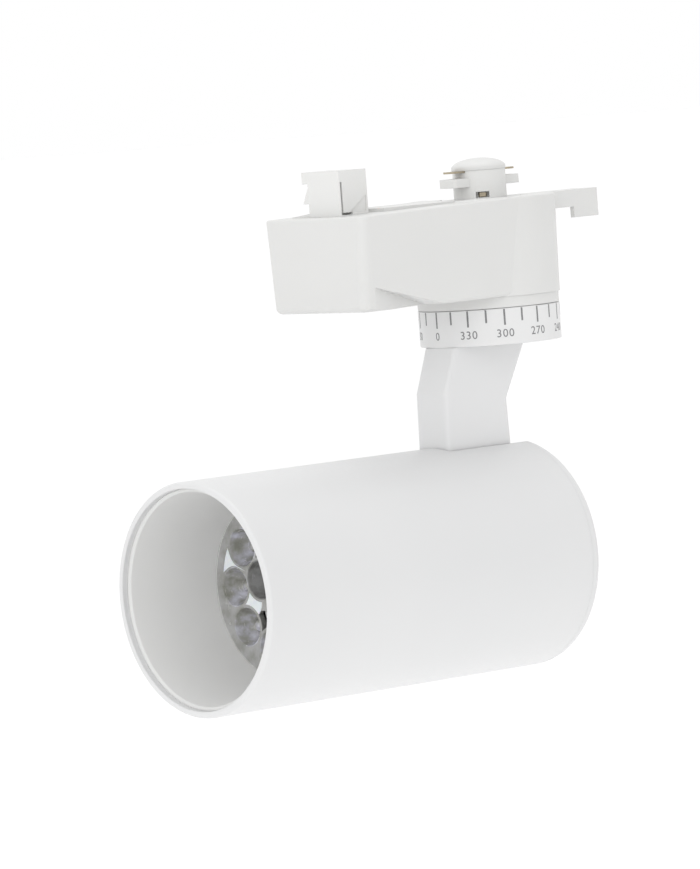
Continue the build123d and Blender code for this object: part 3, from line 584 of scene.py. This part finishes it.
def add_tick(bm, angle, length):
    top = DIAL_TOP - TICK_DROP
    half = TICK_W / 2 / DIAL_R
    corners = []
    for z in (top, top - length):
        for radius in (DIAL_R - INK_T, DIAL_R + INK_T):
            turns = (angle + half * side for side in (-1, 0, 1))
            corners.append([bm.verts.new(on_dial(turn, radius, z)) for turn in turns])
    upper_in, upper_out, lower_in, lower_out = corners
    faces = ((upper_out, lower_out), (lower_in, upper_in), (upper_in, upper_out), (lower_out, lower_in))
    for a, b in faces:
        for i in range(2):
            bm.faces.new((a[i], a[i + 1], b[i + 1], b[i]))
    for i in (0, 2):
        bm.faces.new((upper_in[i], upper_out[i], lower_out[i], lower_in[i]))


def add_label(bm, text, angle):
    curve = bpy.data.curves.new("label", "FONT")
    curve.body = text
    curve.align_x, curve.align_y = "CENTER", "CENTER"
    curve.size = DIGIT_H / DIGIT_SHARE
    curve.space_character = DIGIT_SPACING
    curve.extrude = INK_T
    curve.resolution_u = 4
    holder = bpy.data.objects.new("label", curve)
    flat = bpy.data.meshes.new_from_object(holder)
    bpy.data.objects.remove(holder)
    bpy.data.curves.remove(curve)
    part = bmesh.new()
    part.from_mesh(flat)
    bpy.data.meshes.remove(flat)
    bmesh.ops.remove_doubles(part, verts=part.verts, dist=1e-6)
    reach = max(abs(v.co.x) for v in part.verts)
    x = -reach + STRIP_W
    while x < reach:
        everything = part.verts[:] + part.edges[:] + part.faces[:]
        bmesh.ops.bisect_plane(part, geom=everything, plane_co=(x, 0, 0), plane_no=(1, 0, 0))
        x += STRIP_W
    for v in part.verts:
        v.co = on_dial(angle + v.co.x / DIAL_R, DIAL_R + v.co.z, DIAL_TOP - LABEL_DROP + v.co.y)
    made = bpy.data.meshes.new("label")
    part.to_mesh(made)
    part.free()
    bm.from_mesh(made)
    bpy.data.meshes.remove(made)


def make_dial_print():
    bm = bmesh.new()
    for degrees in range(0, 360, TICK_STEP):
        angle = math.radians(degrees)
        numbered = degrees % (2 * TICK_STEP) == 0
        add_tick(bm, angle, LONG_TICK if numbered else SHORT_TICK)
        if numbered:
            add_label(bm, str((360 - degrees) % 360), angle)
    mesh = mesh_from(bm, "dial_print")
    new_piece("dial_print", mesh, print_ink("grey_ink"), "turntable")


make_dial_print()


# ---------------------------------------------------------------- floor, light and camera

CAMERA_AIM = Vector((-0.0640, 0.0, -0.0717))
CAMERA_PLACE = Vector((-1.3562, -1.4920, 0.0557))
CAMERA_ROLL = math.radians(-4.29)
FOCAL_LENGTH, SENSOR_W = 255.1, 36.0
LIGHT_AIM = Vector((-0.064, 0.0, -0.072))
FLOOR_Z = -0.45
FLOOR_RINGS = (0.5, 1.5, 4.0, 10.0, 27.0, 30.0)
FLOOR_STEPS = 64


def make_floor():
    bm = bmesh.new()
    rows = [
        [bm.verts.new((x, y, FLOOR_Z)) for x, y in circle(radius, steps=FLOOR_STEPS)]
        for radius in FLOOR_RINGS
    ]
    bm.faces.new(rows[0])
    for a, b in zip(rows, rows[1:]):
        for i in range(FLOOR_STEPS):
            j = (i + 1) % FLOOR_STEPS
            bm.faces.new((a[i], a[j], b[j], b[i]))
    mesh = mesh_from(bm, "studio_floor")
    floor = bpy.data.objects.new("studio_floor", mesh)
    scene.collection.objects.link(floor)
    floor.data.materials.append(studio_floor("pale_floor"))


def soft_light(name, location, size, energy):
    data = bpy.data.lights.new(name, "AREA")
    data.shape = "DISK"
    data.size = size
    data.energy = energy
    light = bpy.data.objects.new(name, data)
    light.location = location
    light.rotation_euler = (LIGHT_AIM - Vector(location)).to_track_quat("-Z", "Y").to_euler()
    light.visible_camera = False
    scene.collection.objects.link(light)


def make_camera():
    forward = (CAMERA_AIM - CAMERA_PLACE).normalized()
    level = forward.cross(Vector((0, 0, 1))).normalized()
    upright = level.cross(forward)
    right = level * math.cos(CAMERA_ROLL) + upright * math.sin(CAMERA_ROLL)
    up = upright * math.cos(CAMERA_ROLL) - level * math.sin(CAMERA_ROLL)
    data = bpy.data.cameras.new("camera")
    data.sensor_width = SENSOR_W
    data.lens = FOCAL_LENGTH
    data.clip_start, data.clip_end = 0.05, 100.0
    camera = bpy.data.objects.new("camera", data)
    turned = Matrix((right, up, -forward)).transposed().to_4x4()
    camera.matrix_world = Matrix.Translation(CAMERA_PLACE) @ turned
    scene.collection.objects.link(camera)
    scene.camera = camera


RIGHT_SIDE = (0.756, -0.655, 0.0)
RIGHT_GREY = 0.80
FADE_REACH = (0.25, 0.95)


def make_world():
    world = bpy.data.worlds.new("studio")
    world.use_nodes = True
    nodes, links = world.node_tree.nodes, world.node_tree.links
    backdrop = nodes["Background"]
    backdrop.inputs["Color"].default_value = (1.0, 1.0, 1.0, 1.0)
    # white all round, dimmer far out on the right
    across = nodes.new("ShaderNodeVectorMath")
    across.operation = "DOT_PRODUCT"
    across.inputs[1].default_value = RIGHT_SIDE
    links.new(nodes.new("ShaderNodeTexCoord").outputs["Generated"], across.inputs[0])
    fade = nodes.new("ShaderNodeMapRange")
    set_range(fade, *FADE_REACH, 1.0, RIGHT_GREY)
    links.new(across.outputs["Value"], fade.inputs["Value"])
    links.new(fade.outputs["Result"], backdrop.inputs["Strength"])
    scene.world = world
    scene.view_settings.view_transform = "Standard"


make_floor()
make_world()
# place in metres, size in metres, energy in watts
soft_light("key", (-1.84, -1.35, 0.94), 1.8, 8)
soft_light("top", (0.2, 0.2, 2.2), 2.4, 11)
make_camera()
